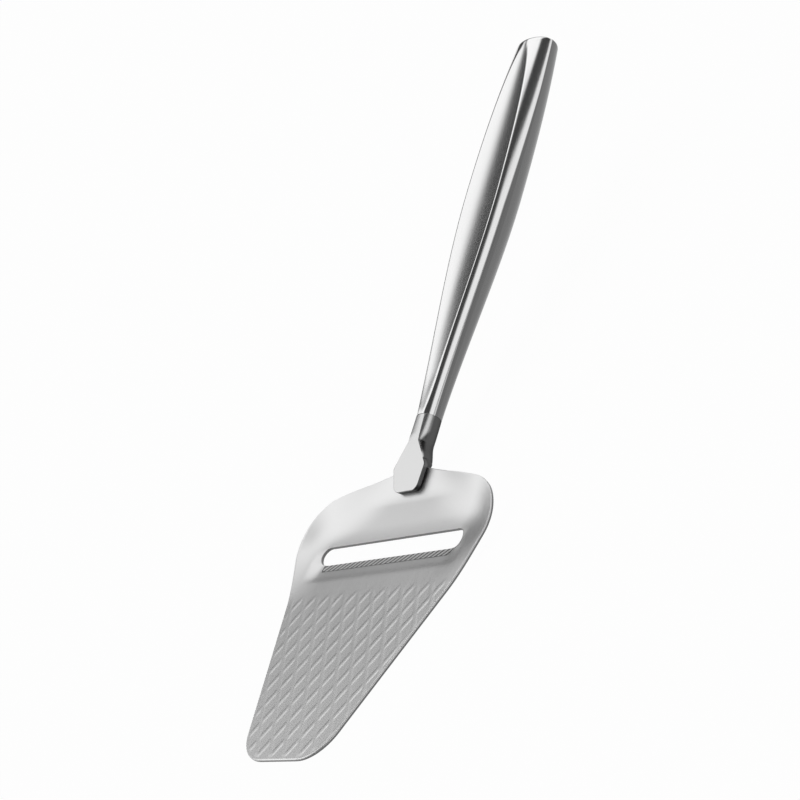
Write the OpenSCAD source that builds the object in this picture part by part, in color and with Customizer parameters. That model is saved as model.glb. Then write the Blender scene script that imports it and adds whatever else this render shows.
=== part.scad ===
// Cheese plane: a pressed steel blade, a forged neck and a hollow handle of two shells.
// Sizes are in millimetres. X runs across, +Y from the tip to the handle, +Z up.
// The origin is the middle of the flat sole, on its underside.

/* [Blade] */
// Thickness of the blade sheet
sheet_t = 0.8; // [0.6:0.1:1.2]
// Length of the flat sole, from the tip edge to the crease of the lip
sole_len = 61.8; // [52:0.2:80]
// Width between the straight sides, at the tip edge
tip_w = 34.4; // [28:0.1:44]
// Width between the straight sides, at the crease of the lip
crease_w = 78.4; // [74:0.1:88]
// Radius of the two tip corners
tip_r = 13; // [6:0.5:14]
// Radius of the two shoulder corners
shoulder_r = 14.5; // [10:0.5:17]
// Distance from the crease of the lip to the middle of the rear edge
rear_len = 35; // [33:0.5:42]
// Angle by which the rear edge runs forward on either side of its middle
rear_sweep = 15.1; // [10:0.1:19]

/* [Cutting slot] */
// Length of the bent lip, from its crease to the cutting edge
lip_len = 6.2; // [4:0.1:8]
// Angle by which the lip is bent down
lip_angle = 6; // [2:0.5:10]
// Width of the blend from the end of the lip to the side band
lip_blend = 5; // [2:0.5:8]
// Length of the bevel that is ground on the lip
bevel_len = 2.2; // [1:0.1:3.5]
// Thickness left at the cutting edge
edge_t = 0.2; // [0.1:0.05:0.5]
// Length of the slot
slot_l = 63; // [50:0.5:66]
// Width of the slot, from the cutting edge to its rear edge
slot_w = 5.4; // [4.8:0.1:7]

/* [Shoulder] */
// Height by which the sheet behind the slot is set above the sole
step_h = 0.4; // [0.3:0.1:2]
// Distance in front of the crease where the side bands begin to rise
ramp_lead = 9; // [4:0.1:14]
// Slope of the sheet between the slot and the bend
lean_angle = 3; // [0:0.5:6]
// Distance from the slot to the start of the upward bend
bend_gap = 6.8; // [4:0.1:8]
// Radius of the upward bend
bend_r = 24; // [20:0.5:26]
// Angle of the shoulder at the neck, above the sole
rise_angle = 20.6; // [14:0.1:21]
// Height by which the rim of the shoulder is curled up
curl_h = 2.9; // [1:0.1:4]
// Width of the curled band inside the rim
curl_band = 14; // [10:0.5:16]
// Width over which the curl starts softly
curl_soft = 4; // [2:0.5:8]
// Distance behind the crease where the curl has its full height
curl_full = 21; // [14:0.5:24]
// Half width of the plain strip in the middle of the rear edge, where the neck sits
curl_gap = 11; // [9:0.5:14]
// Half width at which the rear edge has its full curl
curl_wide = 26; // [20:0.5:30]

/* [Neck] */
// Thickness of the palm, the flat end of the neck
palm_t = 1.7; // [1.2:0.1:2.5]
// Width of the palm at its front edge
palm_front_w = 10.2; // [8:0.1:11]
// Width of the palm at its widest place
palm_w = 14.2; // [11.5:0.1:16]
// Width of the palm where it runs into the stem
palm_end_w = 5; // [4:0.1:7]
// Distance from the front edge of the palm to its widest place
palm_belly = 7.6; // [5:0.1:10]
// Length of the palm along its slope
palm_len = 15.4; // [13:0.1:18]
// Radius of the corners of the palm
palm_r = 1.6; // [0.6:0.1:2]
// Distance from the end of the bend to the front edge of the palm
palm_gap = 1; // [0.2:0.1:2]
// Length of the stem, from the palm to the seam with the handle
stem_len = 8.6; // [6:0.1:14]
// Half width of the stem behind the rear edge of the blade
root_half_w = 4.2; // [3.4:0.1:5]
// Height of the stem's middle line above its underside, behind the rear edge
root_depth = 4.6; // [3:0.1:5]
// Length of the spigot inside the handle
spigot_len = 10; // [6:0.5:16]
// Length of the tang beyond the spigot
tang_len = 34; // [20:1:44]
// Width of the tang
tang_w = 4.4; // [3:0.1:5]
// Thickness of the tang
tang_t = 3; // [2:0.1:4]

/* [Handle] */
// Angle of the handle above the sole
handle_angle = 13.1; // [8:0.1:18]
// Length of the handle, from the seam to its end
handle_len = 133.5; // [115:0.5:150]
// Distance from the seam to the widest place
belly_at = 78; // [62:1:90]
// Width at the seam
neck_w = 7.9; // [7:0.1:9]
// Width at the widest place
belly_w = 20.6; // [16:0.1:24]
// Width at the end
end_w = 15.4; // [12:0.1:18]
// Height above the widest line, at the seam
neck_top = 3.65; // [3.5:0.05:4.5]
// Height above the widest line, at the widest place
belly_top = 6.2; // [5.5:0.1:8]
// Height above the widest line, at the end
end_top = 4.6; // [4:0.1:6]
// Depth below the widest line, at the seam
neck_under = 3.65; // [3.5:0.05:4.5]
// Depth below the widest line, at the widest place
belly_under = 8.1; // [6:0.1:10]
// Depth below the widest line, at the end
end_under = 6; // [4.5:0.1:8]
// Height of the facet above the widest line, at the seam
facet_neck = 3.3; // [3:0.05:3.5]
// Height of the facet above the widest line, at the end
facet_end = 4.8; // [3.8:0.1:5]
// Radius of the hollow of the facet, across the handle
facet_r = 45; // [30:1:90]
// Height of the arch of the handle's middle line
arch = 0.5; // [0:0.1:2]
// Distance from the seam to the top of the arch
arch_at = 60; // [50:1:75]
// Slope of the swelling at the seam, as a share of its mean slope
flare = 0.75; // [0.5:0.05:1]
// Sharpness of the taper behind the widest place
taper = 2.3; // [2:0.1:3]
// Rounding of the end
end_r = 0.8; // [0.4:0.1:1.5]
// Wall of the shells
wall = 0.8; // [0.6:0.1:1.2]

/* [Joints] */
// Gap between the palm and the blade, which the welds bridge
weld_gap = 0.1; // [0.05:0.01:0.2]
// Diameter of a weld nugget
nugget_d = 3.6; // [2:0.1:4]
// Clearance around the spigot, the tang and the bond
bond_clear = 0.1; // [0.05:0.05:0.3]
// Length of the tang that stands out of the bond
tang_bare = 2; // [1:0.5:6]

/* [Hidden] */

// Number of steps in the round stretches
corner_n = 12;
rows_lead = 3;
rows_slot = 6;
rows_corner = 11;
rows_rear = 5;
cols_band = 5;
cols_mid = 10;
side_n = 6;
facet_n = 6;
under_n = 14;
end_n = 3;
stem_n = 6;
bond_n = 5;
ring_gap = 6;
$fn = 48;

// Shares: the grid's middle strip, the two welds on the palm's seat, the tang's flat top
// and the highest place of a facet below the top of its section
strip_share = 0.78;
front_weld_share = 0.32;
rear_weld_share = 0.78;
tang_flat = 0.83;
facet_max = 0.9998;

// Blade levels along Y
tip_y = -sole_len/2;
crease_y = sole_len/2;
edge_y = crease_y + lip_len;
slot_rear_y = edge_y + slot_w;
rear_y = crease_y + rear_len;
ramp_y = crease_y - ramp_lead;
bend_y = slot_rear_y + bend_gap;
slot_mid = (edge_y + slot_rear_y)/2;
reach = slot_l/2 - slot_w/2;
bend_z = step_h + bend_gap*tan(lean_angle);
bend_end_y = bend_y + bend_r*(sin(rise_angle) - sin(lean_angle));
bend_end_z = bend_z + bend_r*(cos(lean_angle) - cos(rise_angle));

// Straight side: half width grows by side_slope per millimetre
side_slope = (crease_w - tip_w)/2/sole_len;
side_angle = atan(side_slope);
function side_half_w(y) = crease_w/2 + side_slope*(y - crease_y);

// Shoulder corner: its sharp point, and the centre of its rounding
sharp_x = side_half_w(rear_y)/(1 + side_slope*tan(rear_sweep));
sharp = [sharp_x, rear_y - sharp_x*tan(rear_sweep)];
to_side = [-sin(side_angle), -cos(side_angle)];
to_rear = [-cos(rear_sweep), sin(rear_sweep)];
half_turn = acos(to_side*to_rear)/2;
shoulder_c = sharp + (to_side + to_rear)/norm(to_side + to_rear)*shoulder_r/sin(half_turn);

// Half width of the blade at y, behind the tip corners
function half_w(y) =
    y < shoulder_c.y - shoulder_r*sin(side_angle) ? side_half_w(y) :
    y < shoulder_c.y + shoulder_r*cos(rear_sweep) ?
        shoulder_c.x + sqrt(shoulder_r*shoulder_r - pow(y - shoulder_c.y, 2)) :
    (rear_y - y)/tan(rear_sweep);

// A smooth step from 0 at a to 1 at b
function smooth(a, b, v) = let (s = min(max((v - a)/(b - a), 0), 1)) s*s*(3 - 2*s);

// Share of the side band at x: 0 on the lip, 1 beyond the blend at its ends
function band(x) = smooth(reach, reach + lip_blend, abs(x));
// Rise of the sheet: a low step beside the slot, which is steeper at its ends, then the bend
function step(x, y) =
    let (w = band(x))
    step_h*(w*smooth(ramp_y, slot_rear_y, y) + (1 - w)*smooth(edge_y, slot_rear_y, y));
function bend_turn(y) = asin(sin(lean_angle) + (y - bend_y)/bend_r);
function rise(x, y) =
    y <= slot_rear_y ? step(x, y) :
    y <= bend_y ? step_h + (y - slot_rear_y)*tan(lean_angle) :
    y <= bend_end_y ? bend_z + bend_r*(cos(lean_angle) - cos(bend_turn(y))) :
    bend_end_z + (y - bend_end_y)*tan(rise_angle);
// Curl of the rim, by its distance from the edge of the sheet
function rim_dist(x, y) =
    let (s = (side_half_w(y) - abs(x))*cos(side_angle),
         r = (rear_y - abs(x)*tan(rear_sweep) - y)*cos(rear_sweep),
         a = max(shoulder_r - s, 0),
         b = max(shoulder_r - r, 0))
    shoulder_r - norm([a, b]) + max(min(s, r) - shoulder_r, 0);
function curl(x, y) =
    let (e = max(curl_band - max(rim_dist(x, y), 0), 0),
         ramp = e < curl_soft ? e*e/(2*curl_soft) : e - curl_soft/2)
    curl_h*ramp/(curl_band - curl_soft/2)
    *smooth(ramp_y, crease_y + curl_full, y)*smooth(curl_gap, curl_wide, abs(x));
function top_z(x, y) = sheet_t + rise(x, y) + curl(x, y);

// Points of a rounded corner at b, between a and c
function fillet(a, b, c, r) =
    let (u = (a - b)/norm(a - b),
         v = (c - b)/norm(c - b),
         half = acos(u*v)/2,
         m = b + (u + v)/norm(u + v)*r/sin(half),
         p = b + u*r/tan(half) - m,
         turn = (180 - 2*half)*sign(cross(b - a, c - b)),
         start = atan2(p.y, p.x))
    [for (i = [0:corner_n]) m + r*[cos(start + turn*i/corner_n), sin(start + turn*i/corner_n)]];

// Palm plane: its origin is the middle of the palm's front edge, on the underside
palm_at = [0, bend_end_y + palm_gap*cos(rise_angle), sheet_t + bend_end_z + palm_gap*sin(rise_angle)];
module on_palm() {
    translate(palm_at)
        rotate([rise_angle, 0, 0])
            children();
}

// Length of blade under the palm, on which the welds lie
seat_len = (rear_y - palm_at.y)/cos(rise_angle);

// Handle axis: its origin is on the seam, in the middle of the widest line
palm_end = palm_at + [0, palm_len*cos(rise_angle), palm_len*sin(rise_angle)]
    + (palm_t + weld_gap)*[0, -sin(rise_angle), cos(rise_angle)];
along = [0, cos(handle_angle), sin(handle_angle)];
upward = [0, -sin(handle_angle), cos(handle_angle)];
seam = palm_end + stem_len*along - facet_neck*upward;
function on_axis(t, p) = seam + t*along + (p.y + lift(t))*upward + [p.x, 0, 0];

// Sizes of the handle at the distance t from the seam
function ease(s) = flare*s + (3 - 2*flare)*s*s + (flare - 2)*s*s*s;
function swell(t, neck, belly, end) =
    t < belly_at ? neck + (belly - neck)*ease(max(t, 0)/belly_at) :
    belly - (belly - end)*pow((t - belly_at)/(handle_len - belly_at), taper);
function lift(t) = t < 0 ? 0 : arch*(1 - pow(1 - t/arch_at, 2));
function facet_h(t) = facet_neck + (facet_end - facet_neck)*t/handle_len;
function end_trim(t) =
    let (d = max(t - handle_len + end_r, 0))
    end_r - sqrt(max(end_r*end_r - d*d, 0));

// One closed section: sides up to the ridges, the hollow facet between them, and the underside
function section(w, top, under, facet) =
    let (f = min(facet, facet_max*top),
         r = asin(f/top),
         b = w*cos(r),
         dish = b*b/(2*facet_r))
    concat(
        [for (i = [0:side_n - 1]) [w*cos(r*i/side_n), top*sin(r*i/side_n)]],
        [for (i = [0:facet_n]) let (s = 1 - 2*i/facet_n) [b*s, f - dish*(1 - s*s)]],
        [for (i = [side_n - 1:-1:0]) [-w*cos(r*i/side_n), top*sin(r*i/side_n)]],
        [for (i = [1:under_n - 1]) [-w*cos(180*i/under_n), -under*sin(180*i/under_n)]]);
function handle_section(t, inset) =
    let (trim = inset + end_trim(t))
    section(swell(t, neck_w, belly_w, end_w)/2 - trim,
            swell(t, neck_top, belly_top, end_top) - trim,
            swell(t, neck_under, belly_under, end_under) - trim,
            facet_h(t) - trim);
function handle_ring(t, inset) = [for (p = handle_section(t, inset)) on_axis(t, p)];

// Half of a handle ring: the first half is the top, the second the underside
half_n = 2*side_n + facet_n;
function half_ring(t, inset, upper) =
    let (ring = handle_ring(t, inset), n = len(ring))
    upper ? [for (i = [0:half_n]) ring[i]] : [for (i = [half_n:n]) ring[i % n]];

// Stations along the handle: the hollow ends in front of the rounding of the end
hollow_end = handle_len - end_r - wall;
inner_steps = concat([for (t = [0:ring_gap:hollow_end - ring_gap/2]) t], [hollow_end]);
outer_steps = concat(inner_steps, [for (i = [0:end_n]) handle_len - end_r + end_r*sin(90*i/end_n)]);

// A closed skin over rings that all have the same number of points
module skin(rings) {
    n = len(rings[0]);
    last = len(rings) - 1;
    sides = [for (i = [0:last - 1]) for (k = [0:n - 1])
        let (a = i*n + k, b = i*n + (k + 1) % n)
        each [[a, b, b + n], [a, b + n, a + n]]];
    front = [for (k = [n - 1:-1:0]) k];
    back = [for (k = [0:n - 1]) last*n + k];
    polyhedron(points = [for (r = rings) each r], faces = concat(sides, [front, back]));
}

// A sleeve between outer and inner rings, open at both ends
module sleeve(outer, inner) {
    n = len(outer[0]);
    last = len(outer) - 1;
    in = len(outer)*n;
    faces = [for (k = [0:n - 1])
        let (m = (k + 1) % n)
        each concat(
            [for (i = [0:last - 1])
                let (a = i*n + k, b = i*n + m)
                each [[a, b, b + n], [a, b + n, a + n],
                      [in + a, in + b + n, in + b], [in + a, in + a + n, in + b + n]]],
            [[m, k, in + k], [m, in + k, in + m],
             [last*n + k, last*n + m, in + last*n + m], [last*n + k, in + last*n + m, in + last*n + k]])];
    polyhedron(points = [for (r = concat(outer, inner)) each r], faces = faces);
}

// Half of the hollow handle, open at the seam and closed at the end
module half_shell(upper) {
    outer = [for (t = outer_steps) half_ring(t, 0, upper)];
    inner = [for (t = inner_steps) half_ring(t, wall, upper)];
    n = len(outer[0]);
    k = n - 1;
    in = len(outer)*n;
    out_last = len(outer) - 1;
    in_last = len(inner) - 1;
    outside = [for (i = [0:out_last - 1]) for (j = [0:k - 1])
        let (a = i*n + j)
        each [[a, a + 1, a + 1 + n], [a, a + 1 + n, a + n]]];
    inside = [for (i = [0:in_last - 1]) for (j = [0:k - 1])
        let (a = in + i*n + j)
        each [[a, a + 1 + n, a + 1], [a, a + n, a + 1 + n]]];
    seam_rim = [for (j = [0:k - 1]) each [[j + 1, j, in + j], [j + 1, in + j, in + j + 1]]];
    side_rims = [for (i = [0:in_last - 1])
        let (a = i*n, b = a + n, c = a + k, d = c + n)
        each [[a, b, in + b], [a, in + b, in + a], [in + c, in + d, d], [in + c, d, c]]];
    m = in_last*n;
    wall_rim = concat(
        [[in + m, m, m + n], [in + m, m + n, in + m + k],
         [in + m + k, m + n, m + n + k], [in + m + k, m + n + k, m + k]],
        [for (i = [in_last + 1:out_last - 1]) [i*n, i*n + n, i*n + n + k, i*n + k]]);
    end_face = [for (j = [0:k]) out_last*n + j];
    end_wall = [for (j = [k:-1:0]) in + m + j];
    polyhedron(points = [for (r = concat(outer, inner)) each r],
               faces = concat(outside, inside, seam_rim, side_rims, wall_rim, [end_face, end_wall]));
}

// Half width of the strip between the two side bands: the slot's outline, or a share of the blade
function inner_half_w(y) =
    y < edge_y || y > slot_rear_y ? min(reach, strip_share*half_w(y)) :
    reach + sqrt(max(slot_w*slot_w/4 - pow(y - slot_mid, 2), 0));

// Bend of the lip, which runs out beyond the two ends of the slot, and its ground bevel
function lip_drop(x, y) =
    let (run = y <= edge_y ? max(y - crease_y, 0) : lip_len*(1 - smooth(edge_y, slot_rear_y, y)))
    run*tan(lip_angle)*(1 - band(x));
function lip_grind(x, y) = y == edge_y && abs(x) <= reach ? sheet_t - edge_t : 0;

// Raised, curled part of the blade sheet, around the slot: a grid of rows across the blade
module shoulder() {
    arc_end_y = shoulder_c.y + shoulder_r*cos(rear_sweep);
    last_y = rear_y - sheet_t*tan(rear_sweep);
    rows = concat(
        [for (i = [0:rows_lead - 1]) ramp_y + ramp_lead*i/rows_lead],
        [crease_y, edge_y - bevel_len],
        [edge_y],
        [for (i = [1:rows_slot - 1]) slot_mid - slot_w/2*cos(180*i/rows_slot)],
        [slot_rear_y],
        [for (i = [1:rows_corner]) slot_rear_y + (arc_end_y - slot_rear_y)*sin(90*i/rows_corner)],
        [for (i = [1:rows_rear]) arc_end_y + (last_y - arc_end_y)*i/rows_rear]);
    edge_row = rows_lead + 2;
    rear_row = edge_row + rows_slot;
    last_row = len(rows) - 1;
    cols = 2*cols_band + cols_mid;
    right = cols_band + cols_mid;
    function col_x(y, c) =
        c < cols_band ? -half_w(y) + (half_w(y) - inner_half_w(y))*c/cols_band :
        c > right ? half_w(y) - (half_w(y) - inner_half_w(y))*(cols - c)/cols_band :
        inner_half_w(y)*(2*(c - cols_band)/cols_mid - 1);
    upper = [for (y = rows) for (c = [0:cols])
        let (x = col_x(y, c)) [x, y, top_z(x, y) - lip_drop(x, y) - lip_grind(x, y)]];
    lower = [for (y = rows) for (c = [0:cols])
        let (x = col_x(y, c)) [x, y, top_z(x, y) - sheet_t - lip_drop(x, y)]];
    n = cols + 1;
    low = len(upper);
    function open(i, c) = i >= edge_row && i < rear_row && c >= cols_band && c < right;
    function edge(p, q) = [[p, q, low + q], [p, low + q, low + p]];
    skins = [for (i = [0:last_row - 1]) for (c = [0:cols - 1]) if (!open(i, c))
        let (a = i*n + c, b = a + n)
        each [[a, b, b + 1], [a, b + 1, a + 1],
              [low + a, low + b + 1, low + b], [low + a, low + a + 1, low + b + 1]]];
    ends = [for (c = [0:cols - 1])
        each concat(edge(c, c + 1), edge(last_row*n + c + 1, last_row*n + c))];
    flanks = [for (i = [0:last_row - 1])
        each concat(edge(i*n + n, i*n), edge(i*n + cols, i*n + n + cols))];
    slot_ends = [for (i = [edge_row:rear_row - 1])
        each concat(edge(i*n + cols_band, i*n + n + cols_band), edge(i*n + n + right, i*n + right))];
    slot_sides = [for (c = [cols_band:right - 1])
        each concat(edge(edge_row*n + c + 1, edge_row*n + c), edge(rear_row*n + c, rear_row*n + c + 1))];
    polyhedron(points = concat(upper, lower), faces = concat(skins, ends, flanks, slot_ends, slot_sides));
}

// Flat front of the sole, up to where the side bands begin to rise
module sole_plate() {
    right = fillet([0, tip_y], [tip_w/2, tip_y], [side_half_w(ramp_y), ramp_y], tip_r);
    left = [for (i = [corner_n:-1:0]) [-right[i].x, right[i].y]];
    linear_extrude(sheet_t)
        polygon(concat(right, [[side_half_w(ramp_y), ramp_y], [-side_half_w(ramp_y), ramp_y]], left));
}

module blade() {
    color("silver") {
        sole_plate();
        shoulder();
    }
}

// Stem of the neck, from behind the rear edge to the seam, with the spigot and the tang
module stem() {
    root_t = -stem_len - (palm_end.y - rear_y - 2*weld_gap)/cos(handle_angle);
    root_f = facet_neck - palm_t/2;
    function part(t, root, at_seam) = root + (at_seam - root)*smooth(root_t, 0, t);
    function stem_section(t) =
        section(part(t, root_half_w, neck_w/2), part(t, root_f + neck_top - facet_neck, neck_top),
                part(t, root_depth, neck_under), part(t, root_f, facet_neck));
    spigot = section(neck_w/2 - wall - bond_clear, neck_top - wall - bond_clear,
                     neck_under - wall - bond_clear, facet_neck - wall - bond_clear);
    body = [for (i = [0:stem_n])
        let (t = root_t*(1 - i/stem_n))
        [for (p = stem_section(t)) on_axis(t, p)]];
    inside = [for (t = [0, spigot_len]) [for (p = spigot) on_axis(t, p)]];
    skin(concat(body, inside, [for (t = [spigot_len, spigot_len + tang_len]) tang_ring(t, 0)]));
}
function tang_ring(t, clear) =
    let (half = tang_t/2)
    [for (p = section(tang_w/2 + clear, half + clear, half + clear, half*tang_flat + clear)) on_axis(t, p)];

module palm() {
    front = palm_front_w/2;
    belly = palm_w/2;
    end = palm_end_w/2;
    right = concat(
        fillet([-front, 0], [front, 0], [belly, palm_belly], palm_r),
        fillet([front, 0], [belly, palm_belly], [end, palm_len], palm_r),
        fillet([belly, palm_belly], [end, palm_len], [-end, palm_len], palm_r));
    left = [for (i = [len(right) - 1:-1:0]) [-right[i].x, right[i].y]];
    on_palm()
        translate([0, 0, weld_gap])
            linear_extrude(palm_t)
                polygon(concat(right, left));
}

module neck() {
    color("gainsboro")
        union() {
            palm();
            stem();
        }
}

module handle_top_shell() {
    color("darkgray")
        half_shell(true);
}

module handle_bottom_shell() {
    color("gray")
        half_shell(false);
}

module tang_bond() {
    from = spigot_len + bond_clear;
    steps = [for (i = [0:bond_n]) from + (tang_len - tang_bare)*i/bond_n];
    color("dimgray")
        sleeve([for (t = steps) handle_ring(t, wall + bond_clear)],
               [for (t = steps) tang_ring(t, bond_clear)]);
}

// A weld nugget in the gap under the palm, at a distance from the palm's front edge
module nugget(at) {
    on_palm()
        translate([0, at, 0])
            cylinder(d = nugget_d, h = weld_gap);
}

module front_weld() {
    color("slategray")
        nugget(seat_len*front_weld_share);
}

module rear_weld() {
    color("slategray")
        nugget(seat_len*rear_weld_share);
}

blade();
neck();
handle_top_shell();
handle_bottom_shell();
tang_bond();
front_weld();
rear_weld();
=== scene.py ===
import math
import bmesh
import bpy
import numpy as np
from mathutils import Matrix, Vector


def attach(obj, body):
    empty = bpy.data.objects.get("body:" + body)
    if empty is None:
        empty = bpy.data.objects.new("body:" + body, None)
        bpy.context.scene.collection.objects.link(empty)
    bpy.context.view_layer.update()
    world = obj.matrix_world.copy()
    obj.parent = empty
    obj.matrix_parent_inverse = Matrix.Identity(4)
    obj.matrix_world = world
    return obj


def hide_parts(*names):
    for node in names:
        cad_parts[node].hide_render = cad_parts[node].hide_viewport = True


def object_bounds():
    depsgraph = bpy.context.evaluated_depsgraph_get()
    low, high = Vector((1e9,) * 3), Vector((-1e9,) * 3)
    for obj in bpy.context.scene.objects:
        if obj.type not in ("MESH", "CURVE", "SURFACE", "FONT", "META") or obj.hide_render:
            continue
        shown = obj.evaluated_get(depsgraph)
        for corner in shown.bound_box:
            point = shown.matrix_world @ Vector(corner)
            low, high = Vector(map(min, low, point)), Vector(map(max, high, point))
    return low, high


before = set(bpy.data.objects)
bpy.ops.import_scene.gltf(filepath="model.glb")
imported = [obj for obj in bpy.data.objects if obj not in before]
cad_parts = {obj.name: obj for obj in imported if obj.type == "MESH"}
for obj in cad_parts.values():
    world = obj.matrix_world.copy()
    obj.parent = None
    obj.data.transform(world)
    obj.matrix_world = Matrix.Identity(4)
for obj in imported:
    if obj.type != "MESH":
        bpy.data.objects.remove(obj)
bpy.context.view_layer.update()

mm = 0.001  # sizes below are in millimetres and degrees, apart from the floor's
hair = 1e-6  # millimetres that count as nothing
samePoint = 1e-7  # metres within which two points are one
scene = bpy.context.scene
scene.view_settings.view_transform = "Standard"
print("frame loaded:", sorted(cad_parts))

# camera: a 90 mm lens at the photograph's angle, with its right, up and back directions
shot = {"lens": 90, "sensor": 36, "near": 10, "at": (438.795, -207.765, 261.278),
        "right": (0.63105, 0.41962, -0.65245), "up": (0.14856, 0.76013, 0.63256),
        "back": (0.76138, -0.49611, 0.41734)}
cameraData = bpy.data.cameras.new("camera")
cameraData.lens = shot["lens"]
cameraData.sensor_width = shot["sensor"]
cameraData.clip_start = shot["near"] * mm
camera = bpy.data.objects.new("camera", cameraData)
scene.collection.objects.link(camera)
facing = Matrix((shot["right"], shot["up"], shot["back"])).transposed().to_4x4()
camera.matrix_world = Matrix.Translation([v * mm for v in shot["at"]]) @ facing
scene.camera = camera
print("camera placed")


def smooth(low, high, value):
    # smooth step: 0 up to low, 1 from high, 3 s^2 - 2 s^3 between
    s = np.clip((value - low) / (high - low), 0, 1)
    return s * s * (3 - 2 * s)


def softRun(past, soft):
    # distance past a bend: 0 before it, the distance itself after it, and a parabola in the soft band between
    return np.where(past < soft, np.maximum(past + soft, 0) ** 2 / (4 * soft), past)


def roundOff(depth, radius):
    # fall of a rounded edge at a depth inside it: radius less a quarter circle's height, 0 from the radius on
    return radius - np.sqrt(np.maximum(radius ** 2 - np.maximum(radius - depth, 0) ** 2, 0))


def addPiece(name, verts, faces, sharp, fields):
    # one mesh object at the origin: millimetres to metres, one number per vertex for each field, doubles
    # merged, and smooth shading but for edges above the sharp angle
    used, index = np.unique(faces.ravel(), return_inverse=True)
    mesh = bpy.data.meshes.new(name)
    mesh.from_pydata((verts[used] * mm).tolist(), [], index.reshape(faces.shape).tolist())
    for label, values in fields.items():
        field = mesh.attributes.new(label, "FLOAT", "POINT")
        field.data.foreach_set("value", values[used].astype(np.float32))
    shape = bmesh.new()
    shape.from_mesh(mesh)
    bmesh.ops.remove_doubles(shape, verts=shape.verts, dist=samePoint)
    shape.to_mesh(mesh)
    shape.free()
    mesh.shade_smooth()
    mesh.set_sharp_from_angle(angle=math.radians(sharp))
    piece = bpy.data.objects.new(name, mesh)
    scene.collection.objects.link(piece)
    return piece


def closeSheet(outer, inner, keep=None):
    # two grids of one shape make a solid: outer quads, inner quads turned over, and a wall at each border edge
    rows, cols = outer.shape[:2]
    below = rows * cols
    ids = np.arange(below).reshape(rows, cols)
    quads = np.stack([ids[:-1, :-1], ids[:-1, 1:], ids[1:, 1:], ids[1:, :-1]], -1)
    quads = quads.reshape(-1, 4) if keep is None else quads[keep]
    edges = np.concatenate([quads[:, [k, (k + 1) % 4]] for k in range(4)])
    index, count = np.unique(np.sort(edges, 1), axis=0, return_inverse=True, return_counts=True)[1:]
    rim = edges[count[index.ravel()] == 1]
    walls = np.stack([rim[:, 1], rim[:, 0], rim[:, 0] + below, rim[:, 1] + below], -1)
    verts = np.concatenate([outer.reshape(-1, 3), inner.reshape(-1, 3)])
    return verts, np.concatenate([quads, quads[:, ::-1] + below, walls])


def closeTube(rings):
    # closed rings along a path, with a flat cap of quads across each end: point k joins its mirror point
    count, around = rings.shape[:2]
    ids = np.arange(count * around).reshape(count, around)
    nextIds = np.roll(ids, -1, axis=1)
    sides = np.stack([ids[:-1], nextIds[:-1], nextIds[1:], ids[1:]], -1).reshape(-1, 4)
    half = np.arange(around // 2 - 1)
    cap = np.stack([half, around - 1 - half, around - 2 - half, half + 1], -1)
    return rings.reshape(-1, 3), np.concatenate([sides, cap, cap[:, ::-1] + ids[-1, 0]])


# blade: pressed sheet with emboss, bent lip, slot and curled shoulder; then the rows and columns of its grid
bladeSize = {"thick": 0.8, "sole": 61.8, "tipWidth": 34.4, "creaseWidth": 78.4, "tipRadius": 13,
             "shoulderRadius": 14.5, "rear": 35, "rearTrim": 0.15, "sweep": 15.1, "rimRound": 0.3,
             "creaseSoft": 1.8, "creaseStep": 0.2, "creaseFall": (-0.8, 1.6), "lip": 6.2, "lipAngle": 6,
             "lipBlend": 6.5, "bevel": 2.8, "bevelTop": 0.15, "bevelEnds": (-1.2, 0.3), "edge": 0.2,
             "slotLength": 63, "slotWidth": 5.8, "step": 0.05, "rampLead": 9, "lean": 9, "leanSoft": 5,
             "bendGap": 11.3, "bendRadius": 20, "rise": 20.6, "curl": 2.9, "curlBand": 14, "curlSoft": 10,
             "curlFull": 21, "curlGap": 6, "curlWide": 32, "sharp": 40,
             "closeRow": 0.08, "tipRow": 0.25, "tipSteps": (0.25, 0.38), "tipRows": 20, "soleRows": 136,
             "lipRows": 9, "bevelRows": 8, "slotRows": 15, "shoulderRows": 48, "rearRows": 14,
             "bandColumns": 26, "middleColumns": 140, "middleShare": 0.78, "rimColumns": (0, 0.1, 0.4),
             "rimShare": 0.3, "rimSlant": 0.2}
embossSize = {"pitch": 5.54, "angle": 30, "width": 1.4, "flank": 0.6, "height": 0.065, "underShare": 0.8,
              "crossShare": 0.6, "breakShare": 0.6, "alongPhase": 0.34, "crossPhase": 3.81, "margin": 0.7,
              "fade": 1.2, "back": 26.5, "backFade": 4}
grindSize = {"pitch": 2.2, "slant": 0.9, "depth": 0.06}


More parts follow.
